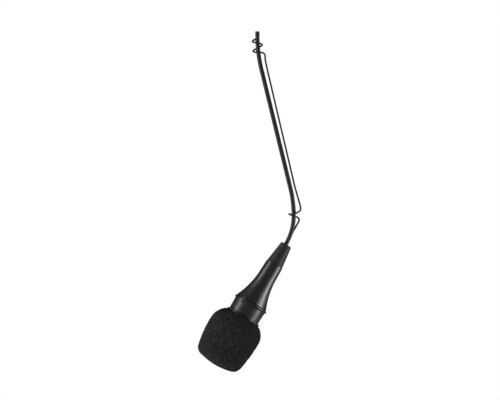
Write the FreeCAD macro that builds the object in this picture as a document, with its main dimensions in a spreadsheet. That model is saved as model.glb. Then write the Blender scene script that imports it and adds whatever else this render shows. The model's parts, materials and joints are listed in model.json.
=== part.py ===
import FreeCAD, Part
import math
import os
import re

import Sketcher

# An overhead condenser microphone that hangs on its own thin cable and is aimed by a bent wire hanger.
# Frame: millimetres, +Z up, origin at the middle of the cable's cut top end. The cable, the hanger and the
# microphone's axis lie in the XZ plane, and the microphone points down and towards -X.
# Every piece of the microphone itself is drawn along its own axis: +Z of the drawing is the station along
# the microphone, counted from the top of the boot towards the foam, and it is hung in place at the end.

Vector = FreeCAD.Vector
UP = Vector(0, 0, 1)
ACROSS = Vector(0, 1, 0)

# Driving dimensions, in millimetres and degrees.
SIZES = (
    # cable
    ("cable_radius", 1.5, "outside radius of the cable jacket"),
    ("jacket_bore", 1.1, "inside radius of the cable jacket"),
    ("shield_bore", 0.92, "inside radius of the braid shield"),
    ("conductor_radius", 0.42, "radius of one insulated conductor"),
    ("fit_gap", 0.04, "gap between pieces that fit together"),
    ("cup_height", 0.95, "height above the hinge where the upper cable's cup ends"),
    ("stub_length", 3.2, "length of cable above the swivel"),
    ("top_bend", 100, "radius of the slow bend below the cable's top"),
    ("cable_lean", 13.5, "lean of the cable's straight run from the vertical"),
    ("straight_run", 85.2, "length of the cable's straight run"),
    ("hook_bend", 81, "radius that brings the cable back to the vertical at the hook"),
    ("aim_bend", 38.5, "radius of the bend between the hook and the boot"),
    ("head_tilt", 31, "microphone axis from the vertical"),
    # hanger wire
    ("wire_radius", 0.6, "radius of the hanger wire"),
    ("spiral_radius", 3.3, "radius of the spiral's centre line"),
    ("spiral_shift", 0.2, "how far the spiral's centre hangs off the cable, towards -X"),
    ("spiral_pitch", 6.9, "rise of one spiral turn"),
    ("spiral_top", 4.6, "depth below the cable's top where an even spiral would start"),
    ("spiral_droop", 0.8, "how far the spiral droops at its front left, and lifts opposite"),
    ("run_gap_top", 4.1, "cable to wire, centre to centre, at the top of the straight run"),
    ("run_gap_low", 3.3, "cable to wire, centre to centre, above the hook"),
    ("run_top", 19, "depth where the wire's straight run begins"),
    ("run_low", 108, "depth where the wire's straight run ends"),
    ("hook_clearance", 2.3, "cable to wire, centre to centre, where the hook passes behind the cable"),
    # where the cable and the wire enter the microphone
    ("cable_offset", 0.45, "cable centre and wire centre off the microphone's axis, towards its left"),
    ("wire_offset", 2.35, "wire centre behind the cable's centre"),
    ("last_wire_bend", -1.8, "station of the wire's last bend, just outside the boot"),
    # boot
    ("boot_length", 15.75, "length of the strain-relief boot"),
    ("boot_top_radius", 4.0, "boot radius at the cable end"),
    ("boot_low_radius", 5.95, "boot radius at the shell"),
    ("boot_edge", 0.8, "rounding of the boot's top edge"),
    # taper shell
    ("shell_start", 15.9, "station where the taper shell begins"),
    ("neck_start", 10.3, "station of the neck's end, inside the boot"),
    ("neck_radius", 4.2, "outside radius of the neck"),
    ("neck_bore", 3.1, "bore of the neck"),
    ("cavity_start", 17.3, "station where the shell's hollow begins"),
    ("cavity_radius", 5.0, "radius of the hollow at its narrow end"),
    ("taper_top_radius", 6.15, "shell radius at the boot"),
    ("flare_start", 24, "station where the flare begins"),
    ("flare_start_radius", 6.42, "shell radius where the flare begins"),
    ("flare_radius", 56, "radius of the flare's hollow curve"),
    ("flare_end", 46.1, "station where the flare ends"),
    ("flare_end_radius", 11.4, "shell radius where the flare ends"),
    ("rim_edge", 0.4, "rounding of the shell's rim"),
    ("shell_wall", 1.3, "wall of the taper shell"),
    ("shell_end", 46.6, "station of the shell's rim"),
    ("thread_radius", 8.6, "radius of the thread between shell and collar"),
    ("thread_start", 42.2, "station of the thread's far end"),
    ("register_start", 45.8, "station of the step that centres the collar"),
    ("register_radius", 10.4, "radius of that step"),
    # rim ring
    ("ring_section", 0.87, "radius of the rim ring's round section"),
    ("ring_radius", 11.4, "radius of the rim ring's centre line"),
    ("ring_station", 47.5, "station of the rim ring"),
    ("tab_outer_radius", 12.1, "radius of the rim ring's tab"),
    ("tab_arc", 18, "arc of the tab in degrees"),
    ("notch_arc", 20, "arc of the notch in the collar in degrees"),
    ("notch_end", 49.9, "station of the notch's bottom"),
    ("notch_floor", 10.6, "radius of the notch's floor"),
    ("tab_turn", -52, "where the tab sits round the microphone's axis"),
    # collar
    ("collar_start", 48.4, "station of the collar's rear edge"),
    ("collar_end", 56.9, "station of the collar's front face"),
    ("collar_rear_radius", 11.45, "collar radius at the rear"),
    ("collar_front_radius", 11.2, "collar radius at the front"),
    ("collar_edge", 0.3, "rounding of the collar's edges"),
    ("collar_bore", 7.0, "bore behind the grille"),
    ("socket_start", 50.8, "station of the step that the grille seats on"),
    # flange ring
    ("flange_end", 58.1, "station of the flange ring's front face"),
    ("flange_radius", 12.5, "outside radius of the flange ring"),
    ("flange_edge", 0.4, "how far the flange ring's rounded edge reaches"),
    ("flange_round", 0.62, "radius of the flange ring's rounded edge"),
    # grille
    ("grille_radius", 9.6, "outside radius of the grille basket"),
    ("grille_wall", 0.8, "wall of the grille basket"),
    ("grille_shoulder", 80, "station where the grille's nose begins to round"),
    ("grille_nose", 2.6, "radius of the flat at the grille's nose"),
    ("slot_width", 2.6, "width of a grille slot"),
    ("slot_count", 12, "slots round the grille"),
    ("slot_rear_start", 61.5, "station where the rear slots begin"),
    ("slot_rear_end", 68.5, "station where the rear slots end"),
    ("slot_front_start", 71.5, "station where the front slots begin"),
    ("slot_front_end", 80, "station where the front slots end"),
    ("mesh_wall", 0.2, "thickness of the mesh"),
    ("mesh_start", 60, "station of the mesh cup's open end"),
    # foam
    ("foam_bore", 10.0, "radius of the foam's hollow"),
    ("foam_start", 58.3, "station of the foam's rear face"),
    ("foam_neck", 12.7, "foam radius at its rear face"),
    ("foam_shoulder", 12, "radius of the foam's rear shoulder"),
    ("foam_belly", 69.5, "station of the foam's widest place"),
    ("foam_radius", 18.6, "largest radius of the foam"),
    ("foam_side", 92, "radius of the foam's nearly straight side"),
    ("foam_cheek", 89.2, "station where the foam's front edge begins to round"),
    ("foam_cheek_radius", 16.4, "foam radius there"),
    ("foam_corner", 6.5, "radius of the foam's front edge"),
    ("foam_nose", 94.0, "station where the front edge meets the face"),
    ("foam_nose_radius", 11.2, "foam radius there"),
    ("foam_end", 95.3, "station of the foam's front"),
    # capsule
    ("can_radius", 7.0, "outside radius of the capsule can"),
    ("can_wall", 0.3, "wall of the capsule can"),
    ("can_lip", 6.1, "bore of the can's crimped rear lip"),
    ("can_start", 70.8, "station of the can's crimped rear lip"),
    ("can_end", 79.8, "station of the can's front face"),
    ("ring_bore", 5.7, "bore of the diaphragm ring and its spacer"),
    ("diaphragm_start", 79.06, "station of the diaphragm's rear face"),
    ("diaphragm_end", 79.1, "station of the diaphragm's front face"),
    ("sleeve_wall", 0.8, "wall of the capsule's insulating sleeve"),
    ("backplate_start", 78.1, "station of the backplate's rear face"),
    ("backplate_end", 78.92, "station of the backplate's front face"),
    ("contact_wall", 0.6, "wall of the contact ring behind the backplate"),
    ("felt_start", 77.3, "station of the damping felt's rear face"),
    ("capsule_board_end", 72.0, "station of the capsule board's inner face"),
    ("vent_radius", 0.55, "radius of the capsule's sound holes"),
    ("vent_circle", 3.4, "radius of the circle that the sound holes lie on"),
    ("mount_start", 72.0, "station of the rubber capsule mount's rear face"),
    ("mount_end", 78.0, "station of the rubber capsule mount's front face"),
    ("mount_rib", 1.2, "width of each of the mount's two ribs"),
    ("mount_waist", 7.9, "radius of the mount between its ribs"),
    ("lock_start", 70.2, "station of the capsule lock ring's rear face"),
    ("lock_bore", 7.2, "bore of the capsule lock ring"),
    ("lead_radius", 0.3, "radius of the thin inner leads"),
    # preamplifier board, with one half of each size on either side of the axis
    ("pcb_start", 27.2, "station of the board's cable end"),
    ("pcb_end", 48.6, "station of the board's capsule end"),
    ("pcb_half_width", 4.5, "half the board's width"),
    ("pcb_half_depth", 0.5, "half the board's thickness"),
    ("carrier_start", 44.4, "station of the board carrier"),
    ("carrier_end", 46.6, "station of the board carrier's front face"),
    ("carrier_hole", 1.7, "radius of the carrier's two wire holes"),
    ("carrier_hole_depth", 4.1, "wire holes off the axis"),
    ("capacitor_radius", 1.4, "radius of a capacitor"),
    ("capacitor_start", 31, "station where the capacitors begin"),
    ("capacitor_length", 4.5, "length of a capacitor"),
    ("chip_start", 37.5, "station where the amplifier chip begins"),
    ("chip_length", 4.0, "length of the chip"),
    ("chip_half_width", 2.3, "half the chip's width"),
    ("chip_depth", 1.4, "thickness of the chip"),
    ("resistor_near", 1.2, "resistor's inner edge off the axis"),
    ("resistor_far", 2.5, "resistor's outer edge off the axis"),
    ("resistor_depth", 0.5, "thickness of a resistor"),
    ("resistor_start", 31, "station of the first pair of resistors"),
    ("resistor_length", 2.1, "length of a resistor"),
    ("resistor_pairs", 3, "pairs of resistors along the board"),
    ("resistor_spread", 9.0, "first pair of resistors to the last"),
    # cable anchor
    ("anchor_start", 17.34, "station of the cable anchor's seat"),
    ("anchor_end", 22.6, "station of the cable anchor's inner face"),
    ("anchor_radius", 4.85, "radius of the cable anchor"),
    ("screw_station", 20, "station of the anchor screw"),
    ("screw_radius", 0.8, "radius of the anchor screw"),
    ("screw_outer", 4.7, "anchor screw's outer end behind the axis"),
    ("socket_depth", 0.9, "depth of the anchor screw's socket"),
    ("socket_radius", 0.4, "radius of the anchor screw's socket"),
    ("cable_end_station", 26.0, "station where the cable's jacket ends"),
    ("wire_end_station", 22.3, "station where the hanger wire ends"),
    ("crimp_radius", 2.2, "outside radius of the crimp on the cable"),
    ("crimp_end", 25.6, "station of the crimp's inner end"),
)

document = FreeCAD.newDocument("hanging_microphone")
sheet = document.addObject("Spreadsheet::Sheet", "Sizes")
for row, (alias, number, meaning) in enumerate(SIZES, start=1):
    sheet.set(f"A{row}", meaning)
    sheet.set(f"B{row}", str(number))
    sheet.setAlias(f"B{row}", alias)
document.recompute()
ALIASES = {alias for alias, number, meaning in SIZES}
parts = []


# ---- sizes and expressions ----

def bound(expression):
    """The expression as the document's objects need it, each size named with its sheet."""
    def with_sheet(word):
        return "Sizes." + word[0] if word[0] in ALIASES else word[0]

    return re.sub(r"[a-z_]+", with_sheet, str(expression))


def value(expression):
    """The number that the expression gives."""
    return float(sheet.evalExpression(str(expression)))


def plus(first, second):
    return f"{first} + ({second})"


def minus(first, second):
    return f"{first} - ({second})"


# ---- sketches ----

def plane_of(body, role):
    return next(item for item in body.Origin.OriginFeatures if item.Role == role)


def new_sketch(body, name, role="XZ_Plane", offset=(0, 0, 0)):
    """A sketch on one of the body's own planes, shifted by offset in the sketch's own axes."""
    sketch = body.newObject("Sketcher::SketchObject", name)
    sketch.AttachmentSupport = (plane_of(body, role), [""])
    sketch.MapMode = "FlatFace"
    for letter, shift in zip("xyz", offset):
        if shift != 0:
            sketch.setExpression(f".AttachmentOffset.Base.{letter}", bound(shift))
    return sketch


def bind(sketch, number, expression):
    sketch.setExpression(f"Constraints[{number}]", bound(expression))


def pin_point(sketch, edge, end, across, along):
    """Fix a point of the sketch by its two distances from the sketch's origin."""
    for kind, distance, axis in (("DistanceX", across, -2), ("DistanceY", along, -1)):
        if distance == 0:
            sketch.addConstraint(Sketcher.Constraint("PointOnObject", edge, end, axis))
        else:
            constraint = Sketcher.Constraint(kind, -1, 1, edge, end, value(distance))
            bind(sketch, sketch.addConstraint(constraint), distance)


def add_arc(sketch, start, end, bend, left):
    """An arc of radius bend from start to end, its centre left or right of the way it goes."""
    chord = end - start
    side = Vector(-chord.y, chord.x, 0).normalize() * (1 if left else -1)
    rise = math.sqrt(bend**2 - (chord.Length / 2) ** 2)
    centre = (start + end) * 0.5 + side * rise
    first, last = (start, end) if left else (end, start)
    angles = [math.atan2(point.y - centre.y, point.x - centre.x) for point in (first, last)]
    circle = Part.Circle(centre, UP, bend)
    return sketch.addGeometry(Part.ArcOfCircle(circle, angles[0], angles[1]))


def draw_path(sketch, corners, closed=True):
    """Lines and arcs through corners. A corner is (across, along), or (across, along, radius, side) where
    an arc leads to it with its centre on that side of the way round."""
    points = [Vector(value(corner[0]), value(corner[1]), 0) for corner in corners]
    edges = []
    for index in range(0 if closed else 1, len(corners)):
        corner, start, end = corners[index], points[index - 1], points[index]
        if len(corner) == 2:
            edge = sketch.addGeometry(Part.LineSegment(start, end))
            edges.append((edge, 1, 2))
        else:
            left = corner[3] == "left"
            edge = add_arc(sketch, start, end, value(corner[2]), left)
            constraint = Sketcher.Constraint("Radius", edge, value(corner[2]))
            bind(sketch, sketch.addConstraint(constraint), corner[2])
            edges.append((edge, 1, 2) if left else (edge, 2, 1))
    for index, (edge, start, end) in enumerate(edges):
        if closed or index > 0:
            before, _, before_end = edges[index - 1]
            sketch.addConstraint(Sketcher.Constraint("Coincident", before, before_end, edge, start))
        corner = corners[index] if closed else corners[index + 1]
        pin_point(sketch, edge, end, corner[0], corner[1])
    if not closed:
        pin_point(sketch, edges[0][0], edges[0][1], corners[0][0], corners[0][1])


def draw_circle(sketch, across, along, radius):
    centre = Vector(value(across), value(along), 0)
    edge = sketch.addGeometry(Part.Circle(centre, UP, value(radius)))
    bind(sketch, sketch.addConstraint(Sketcher.Constraint("Radius", edge, value(radius))), radius)
    pin_point(sketch, edge, 3, across, along)


def draw_box(sketch, left, low, right, high):
    draw_path(sketch, [(left, low), (right, low), (right, high), (left, high)])


# ---- features ----

def new_body(label):
    body = document.addObject("PartDesign::Body", label)
    parts.append(body)
    return body


def revolve(body, kind, name, corners, arc=360, offset=(0, 0, 0)):
    """Turn an outline round the drawing's vertical axis: a Revolution adds, a Groove cuts."""
    sketch = new_sketch(body, name + "_outline", offset=offset)
    draw_path(sketch, corners)
    feature = body.newObject("PartDesign::" + kind, name)
    feature.Profile = sketch
    feature.ReferenceAxis = (sketch, ["V_Axis"])
    feature.setExpression("Angle", bound(arc))
    feature.Midplane = arc != 360
    return feature


def turned(label, corners):
    body = new_body(label)
    revolve(body, "Revolution", label + "_turned", corners)
    return body


def pad(body, name, sketch, length):
    feature = body.newObject("PartDesign::Pad", name)
    feature.Profile = sketch
    feature.setExpression("Length", bound(length))
    return feature


def pocket(body, name, sketch, length):
    """Cut back from the sketch, against its normal; the volume must fall."""
    document.recompute()
    before = body.Shape.Volume
    feature = body.newObject("PartDesign::Pocket", name)
    feature.Profile = sketch
    feature.setExpression("Length", bound(length))
    document.recompute()
    if body.Shape.Volume >= before:
        raise RuntimeError(f"{name} cuts nothing")
    return feature


def drill(body, name, across, depth, radius, low, high):
    """A round hole along the piece's axis, between two stations."""
    sketch = new_sketch(body, name + "_circle", "XY_Plane", (0, 0, high))
    draw_circle(sketch, across, depth, radius)
    return pocket(body, name, sketch, minus(high, low))


def around(body, name, features, count):
    """Repeat features evenly round the piece's axis."""
    pattern = body.newObject("PartDesign::PolarPattern", name)
    pattern.Originals = features
    pattern.Axis = (plane_of(body, "Z_Axis"), [""])
    pattern.Angle = 360
    pattern.setExpression("Occurrences", bound(count))
    body.Tip = pattern
    document.recompute()
    return pattern


def sleeve(label, outer, bore, low, high):
    """A plain tube between two stations."""
    return turned(label, [(bore, low), (outer, low), (outer, high), (bore, high)])


def disc(label, radius, low, high):
    return turned(label, [(0, low), (radius, low), (radius, high), (0, high)])


# ---- the cable's and the wire's routes ----

# Where the cable changes from one bend to the next, as (X, Z).
route_start = ("0", "-stub_length")
leaned = ("top_bend * (1 - cos(cable_lean))", "-stub_length - top_bend * sin(cable_lean)")
straightened = (
    plus(leaned[0], "straight_run * sin(cable_lean)"),
    minus(leaned[1], "straight_run * cos(cable_lean)"),
)
hinge = (
    plus(straightened[0], "hook_bend * (1 - cos(cable_lean))"),
    minus(straightened[1], "hook_bend * sin(cable_lean)"),
)
aimed = (
    minus(hinge[0], "aim_bend * (1 - cos(head_tilt))"),
    minus(hinge[1], "aim_bend * sin(head_tilt)"),
)
cable_end = (
    minus(aimed[0], "cable_end_station * sin(head_tilt)"),
    minus(aimed[1], "cable_end_station * cos(head_tilt)"),
)

STRAIGHT = 1e-3
HINGE = Vector(value(hinge[0]), 0, value(hinge[1]))
HEAD_TURN = FreeCAD.Rotation(ACROSS, 180 + value("head_tilt"))
ENTRY = Vector(value(aimed[0]), 0, value(aimed[1]))
BOOT_TOP = ENTRY - HEAD_TURN.multVec(Vector(value("cable_offset"), 0, 0))


def head_point(across, depth, station):
    """A point given in the microphone's own drawing, as it lies once the microphone hangs in place."""
    return BOOT_TOP + HEAD_TURN.multVec(Vector(across, depth, station))


def hang(part, turn=0):
    """Hang a piece of the microphone in place, turned about the microphone's own axis."""
    part.Placement = FreeCAD.Placement(BOOT_TOP, HEAD_TURN * FreeCAD.Rotation(UP, turn))


def cable_pipe(label, circles, route):
    """Sweep circles along a stretch of cable that starts straight down. A circle is (depth, radius)."""
    body = new_body(label)
    path = new_sketch(body, label + "_route")
    draw_path(path, route, closed=False)
    section = new_sketch(body, label + "_section", "XY_Plane", (0, 0, route[0][1]))
    for depth, radius in circles:
        draw_circle(section, route[0][0], depth, radius)
    document.recompute()
    pipe = body.newObject("PartDesign::AdditivePipe", label + "_pipe")
    pipe.Profile = section
    pipe.Spine = (path, [])
    return body


# The cable's layers, each with the circles of its section as (depth off the cable's centre, radius).
CABLE_LAYERS = (
    ("cable_jacket", ((0, "cable_radius"), (0, "jacket_bore"))),
    ("cable_shield", ((0, "jacket_bore - fit_gap / 4"), (0, "shield_bore"))),
    ("cable_conductors", (
        ("conductor_radius + fit_gap / 2", "conductor_radius"),
        ("-conductor_radius - fit_gap / 2", "conductor_radius"),
    )),
)


def cable_stub(name, circles):
    """The cable's top end, above the swivel."""
    body = new_body(name + "_stub")
    section = new_sketch(body, name + "_stub_section", "XY_Plane", (0, 0, "-stub_length"))
    for depth, radius in circles:
        draw_circle(section, 0, depth, radius)
    pad(body, name + "_stub_pad", section, "stub_length")


def cable_upper(name, circles):
    """From the swivel down to the hinge. The jacket ends in a cup round the lower jacket's round end."""
    route = [
        (0, minus(route_start[1], "fit_gap")),
        (leaned[0], minus(leaned[1], "fit_gap"), "top_bend", "left"),
        (straightened[0], minus(straightened[1], "fit_gap")),
        (hinge[0], minus(hinge[1], "fit_gap"), "hook_bend", "right"),
    ]
    body = cable_pipe(name + "_upper", circles, route)
    wide = "2 * cable_radius"
    cup = "cable_radius + fit_gap"
    if name == "cable_jacket":
        outline = [
            (0, "-cable_radius"), (wide, "-cable_radius"), (wide, "cup_height"),
            (f"sqrt(({cup}) ^ 2 - cup_height ^ 2)", "cup_height"), (0, cup, cup, "left"),
        ]
    else:
        clear = plus(cup, "fit_gap")
        outline = [(0, "-cable_radius"), (wide, "-cable_radius"), (wide, clear), (0, clear)]
    revolve(body, "Groove", name + "_upper_end", outline, offset=(hinge[0], hinge[1], 0))


def cable_lower(name, circles):
    """From the hinge down into the microphone. The jacket starts with a round end on the hinge."""
    route = [(hinge[0], hinge[1]), (aimed[0], aimed[1], "aim_bend", "right"), cable_end]
    body = cable_pipe(name + "_lower", circles, route)
    if name == "cable_jacket":
        outline = [(0, 0), ("cable_radius", 0), (0, "cable_radius", "cable_radius", "left")]
        revolve(body, "Revolution", name + "_lower_end", outline, offset=(hinge[0], hinge[1], 0))


def cable_middle(depth):
    """X of the cable's centre at a depth below its top, above the hinge."""
    if depth < -value(leaned[1]):
        fall = depth - value("stub_length")
        return value("top_bend") - math.sqrt(value("top_bend") ** 2 - fall**2)
    if depth < -value(straightened[1]):
        return value(leaned[0]) + (depth + value(leaned[1])) * math.tan(math.radians(value("cable_lean")))
    rise = -HINGE.z - depth
    return HINGE.x - value("hook_bend") + math.sqrt(value("hook_bend") ** 2 - rise**2)


def bent_route(points):
    """Straight stretches through corner points, each corner rounded as widely as its two sides allow."""
    edges = []
    last = points[0]
    for before, corner, after in zip(points, points[1:], points[2:]):
        back, ahead = before - corner, after - corner
        reach = min(back.Length, ahead.Length) / 2
        start = corner + back.normalize() * reach
        end = corner + ahead.normalize() * reach
        half_turn = (math.pi - back.getAngle(ahead)) / 2
        if half_turn < STRAIGHT:
            continue
        middle = (start + end) * 0.5
        inward = (middle - corner).normalize()
        bend = reach / math.tan(half_turn)
        apex = corner + inward * (bend / math.cos(half_turn) - bend)
        if start.distanceToPoint(last) > STRAIGHT:
            edges.append(Part.makeLine(last, start))
        edges.append(Part.Arc(start, apex, end).toShape())
        last = end
    edges.append(Part.makeLine(last, points[-1]))
    return Part.Wire(edges)


def round_rod(points, radius):
    """A round rod bent through corner points."""
    section = Part.Wire([Part.makeCircle(radius, points[0], points[1] - points[0])])
    return bent_route(points).makePipe(Part.Face(section))


def shaped_part(label, shape, placement=None):
    """A piece whose route is a curve in space. Its place comes after its shape."""
    part = document.addObject("Part::Feature", label)
    part.Shape = shape
    part.Placement = placement or FreeCAD.Placement()
    parts.append(part)


# The way out from the spiral to the straight run, as steps from the run's first point (X, Y, Z).
TURN_OUT = (
    (-2.0, -2.1, 3.9),
    (0.2, -0.3, 2.9),
)
# The hook's way round the cable from its corner to the hinge line, as steps from the hinge (X, Y, Z).
HOOK = (
    (4.1, 0, 7.6),
    (5.0, -0.1, 3.6),
    (3.2, -2.2, 1.2),
    (-1.4, -2.7, -0.4),
    (-3.6, -1.3, 0.5),
    (-3.5, 1.4, 1.6),
    (-1.6, 2.3, 0.9),
)
# The lower loop's way from the hinge line out to the right and back behind the cable, from the hinge.
LOOP = (
    (1.5, 2.3, -0.3),
    (3.3, 1.5, -1.2),
    (4.05, 0.9, -2.9),
    (-0.2, 2.35, -10.5),
)
WIRE_PIVOT = HINGE + Vector(0, value("hook_clearance"), 0)
SPIRAL_START = 90
SPIRAL_END = 645
SPIRAL_STEP = 45
FRONT_LEFT = 225


def spiral_points():
    """Two loose turns round the cable, from behind it, down by its left, front and right."""
    corner_radius = value("spiral_radius") / math.cos(math.radians(SPIRAL_STEP / 2))
    points = []
    for angle in range(SPIRAL_START, SPIRAL_END, SPIRAL_STEP):
        depth = value("spiral_top") + value("spiral_pitch") * (angle - SPIRAL_START) / 360
        depth += value("spiral_droop") * math.cos(math.radians(angle - FRONT_LEFT))
        centre = cable_middle(depth) - value("spiral_shift")
        across = corner_radius * math.cos(math.radians(angle))
        back = corner_radius * math.sin(math.radians(angle))
        points.append(Vector(centre + across, back, -depth))
    return points


def run_points(count=5):
    """The straight run beside the cable, drawing slowly nearer to it."""
    top, low = value("run_top"), value("run_low")
    points = []
    for index in range(count):
        share = index / (count - 1)
        depth = top + (low - top) * share
        gap = value("run_gap_top") + (value("run_gap_low") - value("run_gap_top")) * share
        points.append(Vector(cable_middle(depth) + gap, 0, -depth))
    return points


def knuckle(radius):
    """A round bar along the hinge line, centred where the hanger wire crosses it."""
    reach = 2 * value("wire_radius")
    return Part.makeCylinder(radius, 2 * reach, WIRE_PIVOT - ACROSS * reach, ACROSS)


def hanger_wire_upper():
    """Spiral, straight run and hook. It ends short of the hinge line, hollowed round the lower wire's end."""
    run = run_points()
    points = spiral_points() + [run[0] + Vector(*step) for step in TURN_OUT] + run
    points += [HINGE + Vector(*step) for step in HOOK] + [WIRE_PIVOT]
    rod = round_rod(points, value("wire_radius"))
    rod = rod.fuse(Part.makeSphere(value("wire_radius"), points[0]))
    shaped_part("hanger_wire_upper", rod.cut(knuckle(value("wire_radius + 3 * fit_gap"))))


def hanger_wire_lower():
    """From its round end on the hinge line, round the lower loop and down behind the cable to the anchor."""
    radius = value("wire_radius")
    loop = [HINGE + Vector(*step) for step in LOOP]
    back = (WIRE_PIVOT - loop[0]).normalize()
    points = [WIRE_PIVOT + back * (2 * radius)] + loop
    for station in (value("last_wire_bend"), 0, value("wire_end_station")):
        points.append(head_point(value("cable_offset"), value("wire_offset"), station))
    behind = Part.makeCylinder(2 * radius, 3 * radius, WIRE_PIVOT + back * (radius / 5), back)
    waste = behind.cut(knuckle(value("wire_radius + 2 * fit_gap")))
    shaped_part("hanger_wire_lower", round_rod(points, radius).cut(waste))


# ---- the microphone's outside ----

def strain_relief_boot():
    body = turned("strain_relief_boot", [
        (0, 0),
        ("boot_top_radius - boot_edge", 0),
        ("boot_top_radius", "boot_edge", "boot_edge", "left"),
        ("boot_low_radius", "boot_length"),
        ("neck_radius + fit_gap", "boot_length"),
        ("neck_radius + fit_gap", "neck_start - fit_gap"),
        (0, "neck_start - fit_gap"),
    ])
    drill(body, "boot_cable_hole", "cable_offset", 0, "cable_radius + fit_gap", 0, "neck_start - fit_gap")
    wire_hole = "wire_radius + fit_gap"
    drill(body, "boot_wire_hole", "cable_offset", "wire_offset", wire_hole, 0, "neck_start - fit_gap")
    hang(body)


def taper_shell():
    body = turned("taper_shell", [
        ("neck_bore", "neck_start"),
        ("neck_radius", "neck_start"),
        ("neck_radius", "shell_start"),
        ("taper_top_radius", "shell_start"),
        ("flare_start_radius", "flare_start"),
        ("flare_end_radius", "flare_end", "flare_radius", "right"),
        ("flare_end_radius - rim_edge", "shell_end", "rim_edge * 1.1", "left"),
        ("register_radius", "shell_end"),
        ("register_radius", "register_start"),
        ("thread_radius", "register_start"),
        ("thread_radius", "thread_start - fit_gap"),
        ("cavity_radius", "flare_start", "flare_radius + shell_wall", "left"),
        ("cavity_radius", "cavity_start"),
        ("neck_bore", "cavity_start"),
    ])
    hang(body)


def rim_ring():
    """A round bead with one small tab that drops into the collar's notch."""
    low, high = "ring_station - ring_section", "ring_station + ring_section"
    body = turned("rim_ring", [
        ("ring_radius + ring_section", "ring_station", "ring_section", "left"),
        ("ring_radius", high, "ring_section", "left"),
        ("ring_radius - ring_section", "ring_station", "ring_section", "left"),
        ("ring_radius", low, "ring_section", "left"),
    ])
    revolve(body, "Revolution", "ring_tab", [
        ("ring_radius", "ring_station"),
        ("tab_outer_radius", "ring_station"),
        ("tab_outer_radius", "notch_end - 3 * fit_gap"),
        ("notch_floor + fit_gap", "notch_end - 3 * fit_gap"),
        ("notch_floor + fit_gap", "collar_start"),
        ("ring_radius", "collar_start"),
    ], "tab_arc")
    hang(body, value("tab_turn"))


def collar():
    body = turned("collar", [
        ("collar_bore", "thread_start"),
        ("thread_radius - fit_gap", "thread_start"),
        ("thread_radius - fit_gap", "register_start + fit_gap"),
        ("register_radius - fit_gap", "register_start + fit_gap"),
        ("register_radius - fit_gap", "collar_start"),
        ("collar_rear_radius - collar_edge", "collar_start"),
        ("collar_rear_radius", "collar_start + collar_edge", "collar_edge", "left"),
        ("collar_front_radius", "collar_end - collar_edge"),
        ("collar_front_radius - collar_edge", "collar_end", "collar_edge", "left"),
        ("grille_radius + fit_gap", "collar_end"),
        ("grille_radius + fit_gap", "socket_start"),
        ("collar_bore", "socket_start"),
    ])
    revolve(body, "Groove", "collar_notch", [
        ("notch_floor", "register_start + fit_gap"),
        ("2 * collar_rear_radius", "register_start + fit_gap"),
        ("2 * collar_rear_radius", "notch_end"),
        ("notch_floor", "notch_end"),
    ], "notch_arc")
    hang(body, value("tab_turn"))


def flange_ring():
    body = turned("flange_ring", [
        ("grille_radius + fit_gap", "collar_end + fit_gap"),
        ("flange_radius - flange_edge", "collar_end + fit_gap"),
        ("flange_radius - flange_edge", "flange_end", "flange_round", "left"),
        ("grille_radius + fit_gap", "flange_end"),
    ])
    hang(body)


def domed_cup(label, radius, wall, start):
    """A tube that closes in a rounded nose."""
    inner = minus(radius, wall)
    nose = plus("grille_shoulder", minus(radius, "grille_nose"))
    return turned(label, [
        (inner, start),
        (radius, start),
        (radius, "grille_shoulder"),
        ("grille_nose", nose, minus(radius, "grille_nose"), "left"),
        (0, nose),
        (0, minus(nose, wall)),
        ("grille_nose", minus(nose, wall)),
        (inner, "grille_shoulder", minus(inner, "grille_nose"), "right"),
    ])


def grille_slot(body, name, low, high):
    sketch = new_sketch(body, name + "_outline")
    half = "slot_width / 2"
    end_bend = "slot_width * 0.6"
    draw_path(sketch, [
        (f"-{half}", low),
        (half, low, end_bend, "left"),
        (half, high),
        (f"-{half}", high, end_bend, "left"),
    ])
    slot = pocket(body, name, sketch, "2 * grille_radius")
    around(body, name + "_ring", [slot], "slot_count")


def grille_basket():
    body = domed_cup("grille_basket", "grille_radius", "grille_wall", "socket_start + fit_gap")
    grille_slot(body, "rear_slot", "slot_rear_start", "slot_rear_end")
    grille_slot(body, "front_slot", "slot_front_start", "slot_front_end")
    inside, front = "grille_shoulder", "grille_shoulder + grille_radius"
    circle, radius = "vent_circle + vent_radius", "vent_radius * 2"
    drill(body, "nose_hole", 0, 0, radius, inside, front)
    hole = drill(body, "nose_ring_hole", circle, 0, radius, inside, front)
    around(body, "nose_ring", [hole], "slot_count / 2")
    hang(body)


def grille_mesh():
    hang(domed_cup("grille_mesh", "grille_radius - grille_wall - fit_gap", "mesh_wall", "mesh_start"))


def windscreen_foam():
    cavity = "grille_shoulder + foam_bore - grille_nose"
    dome = "(foam_end - foam_nose)"
    face = f"(foam_nose_radius ^ 2 + {dome} ^ 2) / (2 * {dome})"
    body = turned("windscreen_foam", [
        ("foam_bore", "foam_start"),
        ("foam_neck", "foam_start"),
        ("foam_radius", "foam_belly", "foam_shoulder", "left"),
        ("foam_cheek_radius", "foam_cheek", "foam_side", "left"),
        ("foam_nose_radius", "foam_nose", "foam_corner", "left"),
        (0, "foam_end", face, "left"),
        (0, cavity),
        ("grille_nose", cavity),
        ("foam_bore", "grille_shoulder", "foam_bore - grille_nose", "right"),
    ])
    hang(body)


# ---- the capsule ----

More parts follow.
